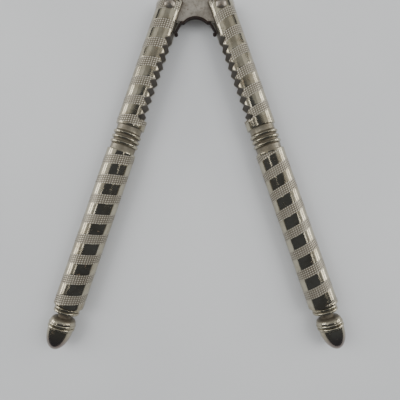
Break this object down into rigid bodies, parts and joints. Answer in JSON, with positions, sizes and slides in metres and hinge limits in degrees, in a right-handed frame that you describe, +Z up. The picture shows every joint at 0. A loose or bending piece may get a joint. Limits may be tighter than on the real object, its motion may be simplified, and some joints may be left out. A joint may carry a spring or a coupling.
{
  "type": "nutcracker",
  "caption": "Double-jointed lever nutcracker lying part open: turned round arms with toothed jaws, banded grips and acorn ends on a riveted link plate with a spring.",
  "frame": {"origin": "centre of the whole tool's box at the table that it lies on", "axes": "+Z up from the table, +X to the right, the arms point towards -Y and the pivots are at +Y"},
  "size_m": [0.1028, 0.1247, 0.011],
  "materials": {
    "nickel_plate": "worn bright nickel plate",
    "plate_steel": "dull nickel plate",
    "rivet_steel": "worn bright nickel plate",
    "spring_steel": "dark, lightly rusted spring steel"
  },
  "bodies": {
    "link": {"link_plate": "plate_steel", "spring": "spring_steel"},
    "left_lever": {"left_arm": "nickel_plate", "left_rivet": "rivet_steel"},
    "right_lever": {"right_arm": "nickel_plate", "right_rivet": "rivet_steel"}
  },
  "joints": [
    {"name": "left_hinge", "type": "hinge", "parent": "link", "child": "left_lever", "pos_m": [-0.00895, 0.05708, 0.00552], "axis": [0, 0, -1], "range_deg": [-20.2, 26.4], "stiffness_Nm_per_rad": 0.28, "deforming": ["spring"]},
    {"name": "right_hinge", "type": "hinge", "parent": "link", "child": "right_lever", "pos_m": [0.00895, 0.05708, 0.00552], "axis": [0, 0, 1], "range_deg": [-20.2, 26.4], "stiffness_Nm_per_rad": 0.28, "deforming": ["spring"]}
  ]
}
